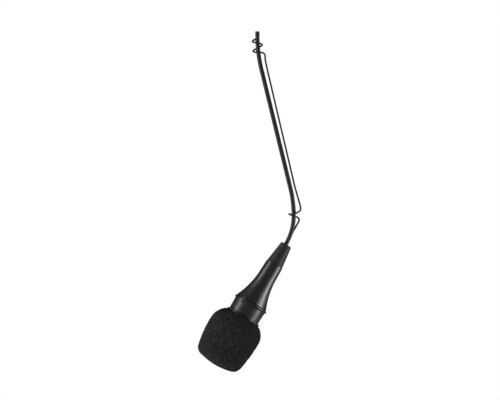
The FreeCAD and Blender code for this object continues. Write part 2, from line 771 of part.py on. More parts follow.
def capsule_can():
    inner = "can_radius - can_wall"
    body = turned("capsule_can", [
        ("can_lip", "can_start"),
        ("can_radius", "can_start"),
        ("can_radius", "can_end"),
        (0, "can_end"),
        (0, "can_end - can_wall"),
        (inner, "can_end - can_wall"),
        (inner, "can_start + can_wall"),
        ("can_lip", "can_start + can_wall"),
    ])
    front = plus("can_end", "can_wall")
    drill(body, "can_hole", 0, 0, "vent_radius", "diaphragm_end", front)
    hole = drill(body, "can_ring_hole", "vent_circle", 0, "vent_radius", "diaphragm_end", front)
    around(body, "can_holes", [hole], 6)
    hang(body)


def capsule_stack():
    """The flat pieces inside the can, from the front to the back."""
    outer = "can_radius - can_wall - fit_gap"
    bore = minus(outer, "sleeve_wall")
    plate = minus(bore, "fit_gap")
    can_front = "can_end - can_wall - fit_gap"
    hang(sleeve("diaphragm_ring", outer, "ring_bore", "diaphragm_end + fit_gap / 2", can_front))
    hang(disc("diaphragm", outer, "diaphragm_start", "diaphragm_end"))
    hang(sleeve("diaphragm_spacer", outer, bore, "backplate_end + fit_gap", "diaphragm_start - fit_gap / 4"))
    rear, face = "backplate_start", "backplate_end"
    backplate = disc("backplate", plate, rear, face)
    hole = drill(backplate, "backplate_hole", "vent_circle", 0, "vent_radius", rear, face)
    around(backplate, "backplate_holes", [hole], 6)
    hang(backplate)
    contact_bore = minus(plate, "contact_wall")
    back, front = "capsule_board_end + fit_gap", "backplate_start - fit_gap"
    hang(sleeve("insulating_sleeve", outer, bore, back, face))
    hang(sleeve("contact_ring", plate, contact_bore, back, front))
    hang(disc("damping_felt", minus(contact_bore, "fit_gap"), "felt_start", front))
    board_back = "can_start + can_wall + fit_gap"
    board = disc("capsule_board", outer, board_back, "capsule_board_end")
    vent = drill(board, "board_vent", "vent_circle", 0, "vent_radius", board_back, "capsule_board_end")
    around(board, "board_vents", [vent], 3)
    hang(board)
    transistor = new_body("capsule_transistor")
    sketch = new_sketch(transistor, "transistor_outline", "XY_Plane", (0, 0, back))
    draw_box(sketch, "-2 * vent_radius", "-2 * vent_radius", "2 * vent_radius", "2 * vent_radius")
    pad(transistor, "transistor_block", sketch, "chip_depth")
    hang(transistor)


def capsule_mount():
    """A rubber sleeve with a rib at each end, between the capsule and the mesh."""
    outer = "grille_radius - grille_wall - mesh_wall - 3 * fit_gap"
    bore = "can_radius + fit_gap"
    slope = "mount_rib + (grille_radius - mount_waist) / 2"
    body = turned("capsule_mount", [
        (bore, "mount_start"),
        (outer, "mount_start"),
        (outer, "mount_start + mount_rib"),
        ("mount_waist", plus("mount_start", slope)),
        ("mount_waist", minus("mount_end", slope)),
        (outer, "mount_end - mount_rib"),
        (outer, "mount_end"),
        (bore, "mount_end"),
    ])
    hang(body)
    hang(sleeve("capsule_lock_ring", outer, "lock_bore", "lock_start", "mount_start - fit_gap"))


# A lead's way back from the capsule board, as (off the axis, depth, distance behind the can's rear).
LEAD_ROUTE = (
    (2.0, 0, 0),
    (2.5, 0.5, 5),
    (3.2, 1.6, 15),
    (2.8, 1.4, 20),
)
# Its solder joint on the preamplifier board: off the axis, and ahead of the board carrier.
LEAD_JOINT = (2.6, 0.8)
# A conductor's way from the cable's end to the board's face, as (height over the face, distance ahead).
TAIL_ROUTE = (
    (0.1, 0.6),
    (0.3, 1.4),
    (0, 3.2),
)


def lead_on_board():
    """Depth of a lead's centre when it lies on the preamplifier board's face."""
    return value("pcb_half_depth + lead_radius + fit_gap")


def twin_leads(label, routes):
    """Two thin leads of the microphone, each through its own points."""
    leads = [round_rod(route, value("lead_radius")) for route in routes]
    shaped_part(label, Part.makeCompound(leads), FreeCAD.Placement(BOOT_TOP, HEAD_TURN))


def capsule_leads():
    """From the capsule board back to the preamplifier board's face."""
    start = value("can_start + can_wall")
    across, ahead = LEAD_JOINT
    route = [(reach, depth, start - back) for reach, depth, back in LEAD_ROUTE]
    route.append((across, lead_on_board(), value("carrier_end") + ahead))
    twin_leads("capsule_leads", [
        [Vector(side * reach, depth, station) for reach, depth, station in route] for side in (-1, 1)
    ])


def cable_tails():
    """The two conductors, bared, from the cable's end to either face of the board."""
    start = value("cable_end_station + fit_gap")
    route = [(value("conductor_radius + fit_gap / 2"), start)]
    route += [(lead_on_board() + height, start + ahead) for height, ahead in TAIL_ROUTE]
    across = value("cable_offset")
    twin_leads("cable_tails", [
        [Vector(across, side * depth, station) for depth, station in route] for side in (-1, 1)
    ])


# ---- the preamplifier board ----

def preamp_board():
    body = new_body("preamp_board")
    sketch = new_sketch(body, "board_section", "XY_Plane", (0, 0, "pcb_start"))
    draw_box(sketch, "-pcb_half_width", "-pcb_half_depth", "pcb_half_width", "pcb_half_depth")
    pad(body, "board_length", sketch, "pcb_end - pcb_start")
    hang(body)


def board_carrier():
    """A round plate in the collar's bore, with a slot for the board and two holes for wires."""
    body = new_body("board_carrier")
    sketch = new_sketch(body, "carrier_section", "XY_Plane", (0, 0, "carrier_start"))
    draw_circle(sketch, 0, 0, "collar_bore - fit_gap")
    half_width, half_depth = "pcb_half_width + fit_gap", "pcb_half_depth + fit_gap"
    draw_box(sketch, minus(0, half_width), minus(0, half_depth), half_width, half_depth)
    for depth in ("carrier_hole_depth", "-carrier_hole_depth"):
        draw_circle(sketch, 0, depth, "carrier_hole")
    pad(body, "carrier_plate", sketch, "carrier_end - carrier_start")
    hang(body)


def board_components():
    face = "pcb_half_depth + fit_gap / 2"
    capacitors = new_body("board_capacitors")
    sketch = new_sketch(capacitors, "capacitor_circles", "XY_Plane", (0, 0, "capacitor_start"))
    for across in ("capacitor_radius + fit_gap", "-capacitor_radius - fit_gap"):
        draw_circle(sketch, across, plus(face, "capacitor_radius"), "capacitor_radius")
    pad(capacitors, "capacitor_length_pad", sketch, "capacitor_length")
    hang(capacitors)

    chip = new_body("amplifier_chip")
    sketch = new_sketch(chip, "chip_outline", "XY_Plane", (0, 0, "chip_start"))
    draw_box(sketch, "-chip_half_width", face, "chip_half_width", plus(face, "chip_depth"))
    pad(chip, "chip_block", sketch, "chip_length")
    hang(chip)

    resistors = new_body("board_resistors")
    sketch = new_sketch(resistors, "resistor_outlines", "XY_Plane", (0, 0, "resistor_start"))
    top, bottom = minus(0, face), minus("-resistor_depth", face)
    draw_box(sketch, "resistor_near", bottom, "resistor_far", top)
    draw_box(sketch, "-resistor_far", bottom, "-resistor_near", top)
    pair = pad(resistors, "resistor_pair", sketch, "resistor_length")
    row = resistors.newObject("PartDesign::LinearPattern", "resistor_row")
    row.Originals = [pair]
    row.Direction = (plane_of(resistors, "Z_Axis"), [""])
    row.setExpression("Length", bound("resistor_spread"))
    row.setExpression("Occurrences", bound("resistor_pairs"))
    resistors.Tip = row
    hang(resistors)


# ---- the cable anchor ----

def cable_anchor():
    """A brass plug that the cable's crimp bears on and that grips the hanger wire's end."""
    body = new_body("cable_anchor")
    sketch = new_sketch(body, "anchor_section", "XY_Plane", (0, 0, "anchor_start"))
    draw_circle(sketch, 0, 0, "anchor_radius")
    draw_circle(sketch, "cable_offset", 0, "cable_radius + fit_gap")
    draw_circle(sketch, "cable_offset", "wire_offset", "wire_radius + fit_gap")
    pad(body, "anchor_plug", sketch, "anchor_end - anchor_start")
    hole = new_sketch(body, "anchor_screw_circle", "XZ_Plane", (0, 0, "-wire_offset"))
    draw_circle(hole, "cable_offset", "screw_station", "screw_radius + fit_gap / 2")
    pocket(body, "anchor_screw_hole", hole, "anchor_radius")
    hang(body)


def anchor_screw():
    body = new_body("anchor_screw")
    outline = new_sketch(body, "screw_circle", "XZ_Plane", (0, 0, "-screw_outer"))
    draw_circle(outline, "cable_offset", "screw_station", "screw_radius")
    pad(body, "screw_length", outline, "screw_outer - wire_offset - wire_radius - fit_gap")
    socket = new_sketch(body, "socket_circle", "XZ_Plane", (0, 0, "socket_depth - screw_outer"))
    draw_circle(socket, "cable_offset", "screw_station", "socket_radius")
    pocket(body, "screw_socket", socket, "2 * socket_depth")
    hang(body)


def cable_crimp():
    body = new_body("cable_crimp")
    sketch = new_sketch(body, "crimp_section", "XY_Plane", (0, 0, "anchor_end + fit_gap"))
    draw_circle(sketch, "cable_offset", 0, "crimp_radius")
    draw_circle(sketch, "cable_offset", 0, "cable_radius + fit_gap / 2")
    pad(body, "crimp_length", sketch, "crimp_end - anchor_end - fit_gap")
    hang(body)


def build():
    for name, circles in CABLE_LAYERS:
        cable_stub(name, circles)
        cable_upper(name, circles)
        cable_lower(name, circles)
    hanger_wire_upper()
    hanger_wire_lower()
    strain_relief_boot()
    taper_shell()
    rim_ring()
    collar()
    flange_ring()
    grille_basket()
    grille_mesh()
    windscreen_foam()
    capsule_can()
    capsule_stack()
    capsule_mount()
    capsule_leads()
    preamp_board()
    board_carrier()
    board_components()
    cable_anchor()
    anchor_screw()
    cable_crimp()
    cable_tails()


def check():
    """Every object must have been made, and every piece must be a sound solid."""
    document.recompute()
    for item in document.Objects:
        if "Invalid" in item.State or "Error" in item.State:
            raise RuntimeError(f"{item.Label}: {item.State}")
    for part in parts:
        shape = part.Shape
        if shape.isNull() or not shape.isValid() or not shape.Solids:
            raise RuntimeError(f"{part.Label} has no sound solid")


def write():
    os.makedirs("parts", exist_ok=True)
    for part in parts:
        part.Shape.exportStep(os.path.join("parts", part.Label + ".step"))
        print(part.Label, round(part.Shape.Volume, 2), len(part.Shape.Solids))


build()
check()
write()
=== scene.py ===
import json
import math

import bpy
import numpy as np
from mathutils import Matrix, Vector, noise


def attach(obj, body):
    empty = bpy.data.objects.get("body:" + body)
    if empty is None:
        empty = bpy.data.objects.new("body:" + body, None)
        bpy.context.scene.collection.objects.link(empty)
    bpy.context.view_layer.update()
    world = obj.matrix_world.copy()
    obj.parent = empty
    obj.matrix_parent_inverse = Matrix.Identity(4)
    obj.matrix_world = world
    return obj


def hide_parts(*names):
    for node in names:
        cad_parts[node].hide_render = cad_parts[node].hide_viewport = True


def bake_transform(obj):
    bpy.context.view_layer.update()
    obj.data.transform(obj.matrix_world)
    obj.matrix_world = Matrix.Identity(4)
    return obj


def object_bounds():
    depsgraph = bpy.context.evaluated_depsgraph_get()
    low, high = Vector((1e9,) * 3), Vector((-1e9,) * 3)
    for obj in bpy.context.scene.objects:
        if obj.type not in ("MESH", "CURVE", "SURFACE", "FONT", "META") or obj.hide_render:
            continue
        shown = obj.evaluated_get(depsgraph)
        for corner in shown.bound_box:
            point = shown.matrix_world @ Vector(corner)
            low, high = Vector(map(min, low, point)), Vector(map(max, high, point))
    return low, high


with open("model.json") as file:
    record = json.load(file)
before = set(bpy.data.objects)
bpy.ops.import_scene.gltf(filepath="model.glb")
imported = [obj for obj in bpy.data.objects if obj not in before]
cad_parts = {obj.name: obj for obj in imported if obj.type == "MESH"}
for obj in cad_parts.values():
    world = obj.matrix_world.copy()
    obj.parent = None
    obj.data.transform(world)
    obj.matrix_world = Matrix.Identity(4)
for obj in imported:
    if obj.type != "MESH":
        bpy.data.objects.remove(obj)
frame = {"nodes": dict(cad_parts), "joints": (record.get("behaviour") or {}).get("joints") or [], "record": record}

# A black overhead microphone that hangs on its own thin cable and is aimed by a bent wire hanger.
# Lengths are named in millimetres and turned to metres when a mesh is made.

CAD_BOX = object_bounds()
MM = 0.001
ROUND = 2 * math.pi

# Where things are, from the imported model.
joints = {joint["name"]: joint for joint in frame["joints"]}
HINGE = Vector(joints["aim_tilt"]["pos_m"]) / MM
HEAD_AXIS = Vector(joints["windscreen_pull"]["axis"])
HEAD_TILT = math.atan2(-HEAD_AXIS.x, -HEAD_AXIS.z)
STUB_LENGTH = -joints["cable_swivel"]["pos_m"][2] / MM
CABLE_RADIUS = frame["record"]["mounts"][0]["dims"]["r_mm"]

# The cable's route: its bends' radii, its lean, how far it goes into the microphone, how far left of the
# microphone's axis it enters, and how far behind it the wire enters.
TOP_BEND = 100
CABLE_LEAN = math.radians(13.5)
HOOK_BEND = 81
AIM_BEND = 38.5
CABLE_INSIDE = 26.0
CABLE_OFFSET = 0.45
WIRE_BEHIND = 2.35
straight_fall = -HINGE.z - STUB_LENGTH - (TOP_BEND + HOOK_BEND) * math.sin(CABLE_LEAN)
STRAIGHT_RUN = straight_fall / math.cos(CABLE_LEAN)

# The cable's layers and the wire.
JACKET_BORE = 1.1
SHIELD_BORE = 0.92
LAYER_GAP = 0.01
CONDUCTOR_RADIUS = 0.42
CONDUCTOR_SHIFT = 0.44
CABLE_CREASE = 0.7
WIRE_RADIUS = 0.62
WIRE_SIDES = 20
WIRE_CREASE = 1.0

# The microphone's own frame: its origin is the middle of the boot's top, +Z runs along its axis towards the
# foam, and -Y faces the front. A place along +Z is called a station.
HEAD_TURN = Matrix.Rotation(math.pi + HEAD_TILT, 3, "Y")
cable_entry = HINGE + Vector((AIM_BEND * (math.cos(HEAD_TILT) - 1), 0, -AIM_BEND * math.sin(HEAD_TILT)))
BOOT_TOP = cable_entry - HEAD_TURN @ Vector((CABLE_OFFSET, 0, 0))


def head_point(across, depth, station):
    """A point of the microphone's own frame, in millimetres, as it lies in the row frame."""
    return BOOT_TOP + HEAD_TURN @ Vector((across, depth, station))


# ---- meshes ----

def make_object(name, points, faces, material, body=None, crease=None):
    """A smooth mesh object from points in millimetres. Edges that turn by more than crease stay sharp."""
    mesh = bpy.data.meshes.new(name)
    mesh.from_pydata([tuple(Vector(point) * MM) for point in points], [], faces)
    mesh.validate()
    mesh.shade_smooth()
    if crease:
        mesh.set_sharp_from_angle(angle=crease)
    item = bpy.data.objects.new(name, mesh)
    bpy.context.scene.collection.objects.link(item)
    mesh.materials.append(material)
    if body:
        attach(item, body)
    return item


def rings_to_faces(ring_count, sides, closed=False):
    """Quads between neighbouring rings of points. closed joins the last ring to the first."""
    faces = []
    for ring in range(ring_count if closed else ring_count - 1):
        low, high = ring * sides, (ring + 1) % ring_count * sides
        for side in range(sides):
            after = (side + 1) % sides
            faces.append((low + side, low + after, high + after, high + side))
    return faces


def carried_frames(path):
    """For each point of a path, two directions across it that never twist."""
    ahead = [(b - a).normalized() for a, b in zip(path, path[1:])]
    tangents = [ahead[0]] + [(a + b).normalized() for a, b in zip(ahead, ahead[1:])] + [ahead[-1]]
    across = Vector((0, 1, 0))
    across = (across - tangents[0] * across.dot(tangents[0])).normalized()
    frames = []
    for tangent in tangents:
        across = (across - tangent * across.dot(tangent)).normalized()
        frames.append((across, tangent.cross(across)))
    return frames


def tube_mesh(path, outer, bore, sides, shift=(0, 0), radii=None):
    """Points and faces of a tube along a path, or of a rod where bore is 0. shift moves it across the path.
    radii, where given, holds a rod's radius at each point of the path."""
    frames = carried_frames(path)
    layers = []
    for radius in (outer, bore) if bore else (outer,):
        rows = []
        for index, (centre, (first, second)) in enumerate(zip(path, frames)):
            middle = centre + first * shift[0] + second * shift[1]
            reach = radii[index] if radii else radius
            row = []
            for side in range(sides):
                angle = side / sides * ROUND
                row.append(middle + first * (reach * math.cos(angle)) + second * (reach * math.sin(angle)))
            rows.append(row)
        layers.append(rows)
    if bore:
        loop = layers[0] + layers[1][::-1]
        return [point for row in loop for point in row], rings_to_faces(len(loop), sides, closed=True)
    rows = layers[0]
    points = [point for row in rows for point in row]
    faces = rings_to_faces(len(rows), sides)
    last = (len(rows) - 1) * sides
    faces.append(tuple(range(sides))[::-1])
    faces.append(tuple(range(last, last + sides)))
    return points, faces


# A rod's rounded tip: its rings, and the last ring's radius as a share of the rod's.
TIP_STEPS = 5
TIP_POINT = 0.05


def rounded_rod_path(path, radius):
    """The path of a rod with a rounded tip added at each end, and the rod's radius at each of its points."""
    back = (path[0] - path[1]).normalized()
    ahead = (path[-1] - path[-2]).normalized()
    turns = [step / TIP_STEPS * math.pi / 2 for step in range(1, TIP_STEPS + 1)]
    reaches = [math.sin(turn) * radius for turn in turns]
    narrowing = [max(math.cos(turn), TIP_POINT) * radius for turn in turns]
    first_tip = [path[0] + back * reach for reach in reaches[::-1]]
    last_tip = [path[-1] + ahead * reach for reach in reaches]
    radii = narrowing[::-1] + [radius] * len(path) + narrowing
    return first_tip + list(path) + last_tip, radii


# ---- routes ----

CABLE_STEP = 0.8
CURVE_STEPS = 8


def cable_path():
    """The cable's centre line: stretches of (length, change of heading), walked from its top."""
    stretches = (
        (STUB_LENGTH, 0),
        (TOP_BEND * CABLE_LEAN, CABLE_LEAN),
        (STRAIGHT_RUN, 0),
        (HOOK_BEND * CABLE_LEAN, -CABLE_LEAN),
        (AIM_BEND * HEAD_TILT, -HEAD_TILT),
        (CABLE_INSIDE, 0),
    )
    point, heading, path = Vector((0, 0, 0)), 0, [Vector((0, 0, 0))]
    for length, turn in stretches:
        count = max(2, round(length / CABLE_STEP))
        chord = length / count
        if turn:
            bit = turn / count
            chord *= math.sin(bit / 2) / (bit / 2)
        for _ in range(count):
            middle = heading + turn / count / 2
            point = point + Vector((math.sin(middle), 0, -math.cos(middle))) * chord
            heading += turn / count
            path.append(point)
    return path


def smooth_curve(corners):
    """A centripetal Catmull-Rom curve through corners."""
    ends = [corners[0] * 2 - corners[1]] + list(corners) + [corners[-1] * 2 - corners[-2]]
    path = []
    for p0, p1, p2, p3 in zip(ends, ends[1:], ends[2:], ends[3:]):
        knots = [0]
        for a, b in ((p0, p1), (p1, p2), (p2, p3)):
            knots.append(knots[-1] + math.sqrt((b - a).length))
        t0, t1, t2, t3 = knots
        for step in range(CURVE_STEPS):
            t = t1 + (t2 - t1) * step / CURVE_STEPS
            a1 = p0 * ((t1 - t) / (t1 - t0)) + p1 * ((t - t0) / (t1 - t0))
            a2 = p1 * ((t2 - t) / (t2 - t1)) + p2 * ((t - t1) / (t2 - t1))
            a3 = p2 * ((t3 - t) / (t3 - t2)) + p3 * ((t - t2) / (t3 - t2))
            b1 = a1 * ((t2 - t) / (t2 - t0)) + a2 * ((t - t0) / (t2 - t0))
            b2 = a2 * ((t3 - t) / (t3 - t1)) + a3 * ((t - t1) / (t3 - t1))
            path.append(b1 * ((t2 - t) / (t2 - t1)) + b2 * ((t - t1) / (t2 - t1)))
    path.append(corners[-1])
    return path


cable_line = cable_path()


def cable_middle(depth):
    """X of the cable's centre at a depth below its top."""
    return float(np.interp(depth, [-point.z for point in cable_line], [point.x for point in cable_line]))


# Hanger wire: the spiral by angle in degrees, the straight run beside the cable by depth, the run's entry as
# steps from its top, the hook and loop as steps from the hinge, and the end by stations.
SPIRAL_START = 90
SPIRAL_END = 660
SPIRAL_STEP = 30
SPIRAL_RADIUS = 3.3
SPIRAL_SHIFT = 0.2
SPIRAL_PITCH = 6.9
SPIRAL_TOP = 4.6
SPIRAL_DROOP = 0.8
FRONT_LEFT = 225
RUN_TOP = 19
RUN_LOW = 108
RUN_GAP_TOP = 4.1
RUN_GAP_LOW = 3.3
RUN_POINTS = 12
RUN_ENTRY = (
    (-2.1, -2.1, 3.9),
    (-0.5, -0.9, 3.0),
    (0.0, -0.2, 1.8),
)
HOOK = (
    (4.15, 0, 8.0),
    (4.75, -0.1, 5.2),
    (4.4, -0.7, 3.4),
    (2.4, -2.0, 1.8),
    (-0.3, -2.4, 0.8),
    (-2.0, -2.0, 0.3),
    (-3.2, -0.4, 1.0),
    (-2.4, 1.6, 1.0),
    (0, 2.3, 0),
)
LOOP = (
    (1.5, 2.2, -0.5),
    (2.9, 1.65, -1.3),
    (3.7, 1.15, -2.6),
    (3.35, 1.2, -4.2),
    (2.2, 1.65, -6.2),
    (0.9, 2.1, -8.6),
    (-0.3, 2.35, -10.7),
    (-2.5, 2.35, -14.6),
)
END_STATIONS = (-1.8, 0, 6, 13, 22)


def wire_path():
    """The hanger wire's centre line, from the spiral's top to its end inside the boot."""
    corners = []
    for angle in range(SPIRAL_START, SPIRAL_END, SPIRAL_STEP):
        turn = math.radians(angle)
        depth = SPIRAL_TOP + SPIRAL_PITCH * (angle - SPIRAL_START) / 360
        depth += SPIRAL_DROOP * math.cos(math.radians(angle - FRONT_LEFT))
        across = cable_middle(depth) - SPIRAL_SHIFT + SPIRAL_RADIUS * math.cos(turn)
        corners.append(Vector((across, SPIRAL_RADIUS * math.sin(turn), -depth)))
    run = []
    for index in range(RUN_POINTS):
        share = index / (RUN_POINTS - 1)
        depth = RUN_TOP + (RUN_LOW - RUN_TOP) * share
        gap = RUN_GAP_TOP + (RUN_GAP_LOW - RUN_GAP_TOP) * share
        run.append(Vector((cable_middle(depth) + gap, 0, -depth)))
    corners += [run[0] + Vector(step) for step in RUN_ENTRY]
    corners += run
    corners += [HINGE + Vector(step) for step in HOOK + LOOP]
    corners += [head_point(CABLE_OFFSET, WIRE_BEHIND, station) for station in END_STATIONS]
    return smooth_curve(corners)


# ---- cable and hanger ----

def bend_with_aim(item):
    """Bakes the piece's placement into its mesh."""
    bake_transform(item)


def nearest_ring(path, point):
    return min(range(len(path)), key=lambda index: (path[index] - point).length)


def build_cable(materials):
    """The cable's layers, each a short end above the swivel and one long length, with the route's bends, below it.
    """
    split = nearest_ring(cable_line, Vector((0, 0, -STUB_LENGTH)))
    middle = ((0, 0),)
    pair = ((CONDUCTOR_SHIFT, 0), (-CONDUCTOR_SHIFT, 0))
    layers = (
        ("jacket", "cable_jacket", CABLE_RADIUS, JACKET_BORE, middle, 40),
        ("shield", "cable_shield", JACKET_BORE - LAYER_GAP, SHIELD_BORE, middle, 32),
        ("conductors", "conductor", CONDUCTOR_RADIUS, 0, pair, 16),
    )
    for layer, slot_name, outer, bore, shifts, sides in layers:
        for end, path in (("stub", cable_line[:split + 1]), ("length", cable_line[split:])):
            points, faces = [], []
            for shift in shifts:
                more, more_faces = tube_mesh(path, outer, bore, sides, shift)
                faces += [tuple(corner + len(points) for corner in face) for face in more_faces]
                points += more
            node = f"cable_{layer}"
            item = make_object(f"{node}_{end}", points, faces, materials[slot_name], crease=CABLE_CREASE)
            if end == "stub":
                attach(item, "cable_end")
                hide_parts(node + "_stub")
            else:
                bend_with_aim(item)
                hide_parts(node + "_upper", node + "_lower")


def build_wire(materials):
    """The hanger wire, one round-ended rod from the spiral to the boot."""
    path, radii = rounded_rod_path(wire_path(), WIRE_RADIUS)
    points, faces = tube_mesh(path, WIRE_RADIUS, 0, WIRE_SIDES, radii=radii)
    item = make_object("hanger_wire", points, faces, materials["hanger_wire"], crease=WIRE_CREASE)
    bend_with_aim(item)
    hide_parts("hanger_wire_upper", "hanger_wire_lower")


# ---- foam windscreen ----

# Outside, as (radius, station) corners with an arc's radius between each pair.
FOAM_START = 58.3
FOAM_END = 95.3
FOAM_NECK = (12.7, FOAM_START)
FOAM_BELLY = (18.6, 69.5)
FOAM_CHEEK = (16.4, 89.2)
FOAM_NOSE = (11.2, 94.0)
FOAM_TIP = 0.02
NECK_BEND = 12
SIDE_BEND = 92
CHEEK_BEND = 6.5
FRONT_BEND = 49

# Inside, a bore with a round end that fits the grille.
FOAM_BORE = 10.0
BORE_END = 87.4
BORE_ROUND = 7.4
BORE_ROUND_STEPS = 12
BORE_STEP = 1.2

FOAM_SIDES = 340
FOAM_STEP = 0.34
FOAM_SLACK = 0.05

# The skin's relief, as (size, height, shift of the pattern): slow lumps, and cells between strands.
FOAM_LUMPS = ((7.0, 0.22, (0, 0, 0)), (2.6, 0.16, (7, 3, 1)))
FOAM_CELLS = ((1.45, 0.42, (0, 0, 0)), (0.8, 0.14, (3, 9, 5)))
STRAND_STEEPNESS = 1.9
FOAM_SINK = 0.34


def arc_between(start, end, bend):
    """Points on an arc of radius bend from start to end, bowing away from the axis, in (radius, station)."""
    chord = end - start
    side = Vector((-chord.y, chord.x)).normalized()
    centre = (start + end) / 2 + side * math.sqrt(bend**2 - (chord.length / 2) ** 2)
    first = math.atan2(start.y - centre.y, start.x - centre.x)
    last = math.atan2(end.y - centre.y, end.x - centre.x)
    if last < first:
        last += ROUND
    count = max(2, round(bend * (last - first) / FOAM_STEP))
    turns = [first + (last - first) * step / count for step in range(1, count + 1)]
    return [centre + Vector((math.cos(turn), math.sin(turn))) * bend for turn in turns]


def line_between(start, end, step):
    count = max(1, round((end - start).length / step))
    return [start.lerp(end, index / count) for index in range(1, count + 1)]


def foam_profile():
    """The foam's outline in two parts: its outside from the bore's mouth to its front, and its bore."""
    mouth, front = Vector((FOAM_BORE, FOAM_START)), Vector((FOAM_TIP, FOAM_END))
    neck, belly, cheek, nose = (Vector(corner) for corner in (FOAM_NECK, FOAM_BELLY, FOAM_CHEEK, FOAM_NOSE))
    outside = [mouth] + line_between(mouth, neck, FOAM_STEP)
    outside += arc_between(neck, belly, NECK_BEND)
    outside += arc_between(belly, cheek, SIDE_BEND)
    outside += arc_between(cheek, nose, CHEEK_BEND)
    outside += arc_between(nose, front, FRONT_BEND)
    flat = FOAM_BORE - BORE_ROUND
    lip = BORE_END - BORE_ROUND
    bore = [Vector((FOAM_TIP, BORE_END)), Vector((flat, BORE_END))]
    for step in range(1, BORE_ROUND_STEPS + 1):
        turn = math.pi / 2 * (1 - step / BORE_ROUND_STEPS)
        bore.append(Vector((flat + BORE_ROUND * math.cos(turn), lip + BORE_ROUND * math.sin(turn))))
    bore += line_between(Vector((FOAM_BORE, lip)), mouth, BORE_STEP)[:-1]
    return outside, bore


def foam_relief(point):
    """How far the foam's skin stands out at a point: slow lumps, and open cells as pits between strands."""
    relief = -FOAM_SINK
    for size, height, shift in FOAM_LUMPS:
        relief += height * noise.noise(point / size + Vector(shift))
    for size, height, shift in FOAM_CELLS:
        distances, _ = noise.voronoi(point / size + Vector(shift), distance_metric="DISTANCE")
        relief += height * (1 - min(1, (distances[1] - distances[0]) * STRAND_STEEPNESS))
    return relief


def build_foam(materials):
    """The windscreen: a fine mesh round its outline, its outside pushed in and out by the foam's relief."""
    outside, bore = foam_profile()
    points = []
    for row, (radius, station) in enumerate(outside + bore):
        for side in range(FOAM_SIDES):
            angle = side / FOAM_SIDES * ROUND
            local = Vector((radius * math.cos(angle), radius * math.sin(angle), station))
            if 0 < row < len(outside) - 1:
                along = (outside[row + 1] - outside[row - 1]).normalized()
                outward = Vector((along.y * math.cos(angle), along.y * math.sin(angle), -along.x))
                local += outward * foam_relief(local)
                local.z = max(local.z, FOAM_START - FOAM_SLACK)
            points.append(BOOT_TOP + HEAD_TURN @ local)
    faces = rings_to_faces(len(outside) + len(bore), FOAM_SIDES, closed=True)
    item = make_object("windscreen", points, faces, materials["foam"], "windscreen")
    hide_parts("windscreen_foam")


# ---- materials ----

# Where the mix node keeps its two colours and its result, which share names with its other sockets.
MIX_FIRST = 6
MIX_SECOND = 7
MIX_RESULT = 2


class Recipe:
    """A material under construction. Sizes are in millimetres, in the row frame or along the microphone."""

    def __init__(self, name, along_head=False):
        self.material = bpy.data.materials.new(name)
        self.material.use_nodes = True
        self.tree = self.material.node_tree
        self.shader = self.tree.nodes["Principled BSDF"]
        coordinates = self.tree.nodes.new("ShaderNodeTexCoord").outputs["Object"]
        mapping = self.tree.nodes.new("ShaderNodeMapping")
        self.tree.links.new(coordinates, mapping.inputs["Vector"])
        mapping.inputs["Scale"].default_value = (1 / MM, 1 / MM, 1 / MM)
        if along_head:
            back = HEAD_TURN.inverted()
            mapping.inputs["Rotation"].default_value = back.to_euler("XYZ")
            mapping.inputs["Location"].default_value = -(back @ BOOT_TOP)
        self.place = mapping.outputs["Vector"]

    def feed(self, socket, value):
        if isinstance(value, bpy.types.NodeSocket):
            self.tree.links.new(value, socket)
        else:
            socket.default_value = value

    def node(self, kind, inputs, output=0, **settings):
        node = self.tree.nodes.new("ShaderNode" + kind)
        for key, value in settings.items():
            setattr(node, key, value)
        for key, value in inputs.items():
            self.feed(node.inputs[key], value)
        return node.outputs[output]

    def stretched(self, across, depth, along):
        """The place, shrunk along each axis, so that a pattern on it is drawn out."""
        return self.node("VectorMath", {0: self.place, 1: (across, depth, along)}, operation="MULTIPLY")

    def noise(self, size, detail=2.0, place=None):
        inputs = {"Vector": place or self.place, "Scale": 1 / size, "Detail": detail}
        return self.node("TexNoise", inputs, "Fac")

    def cells(self, size, feature="F1", randomness=1.0, place=None):
        inputs = {"Vector": place or self.place, "Scale": 1 / size, "Randomness": randomness}
        return self.node("TexVoronoi", inputs, "Distance", feature=feature)

    def ramp(self, factor, *stops):
        """A ramp of greys. A stop is (position, grey level)."""
        node = self.tree.nodes.new("ShaderNodeValToRGB")
        self.feed(node.inputs["Fac"], factor)
        while len(node.color_ramp.elements) < len(stops):
            node.color_ramp.elements.new(0.5)
        for element, (position, level) in zip(node.color_ramp.elements, stops):
            element.position = position
            element.color = (*grey(level), 1)
        return node.outputs["Color"]

    def maths(self, operation, first, second=0.0):
        return self.node("Math", {0: first, 1: second}, operation=operation)

    def blend(self, factor, first, second):
        """One colour turning into another as factor goes from 0 to 1."""
        node = self.tree.nodes.new("ShaderNodeMix")
        node.data_type = "RGBA"
        self.feed(node.inputs["Factor"], factor)
        for socket, colour in ((MIX_FIRST, first), (MIX_SECOND, second)):
            fixed = not isinstance(colour, bpy.types.NodeSocket)
            self.feed(node.inputs[socket], (*colour, 1) if fixed else colour)
        return node.outputs[MIX_RESULT]

    def bump(self, height, depth, under=None):
        inputs = {"Height": height, "Distance": depth * MM, "Strength": 1.0}
        if under:
            inputs["Normal"] = under
        return self.node("Bump", inputs)

    def finish(self, **inputs):
        for key, value in inputs.items():
            self.feed(self.shader.inputs[key.replace("_", " ")], value)
        return self.material


def grey(level):
    return (level, level, level)


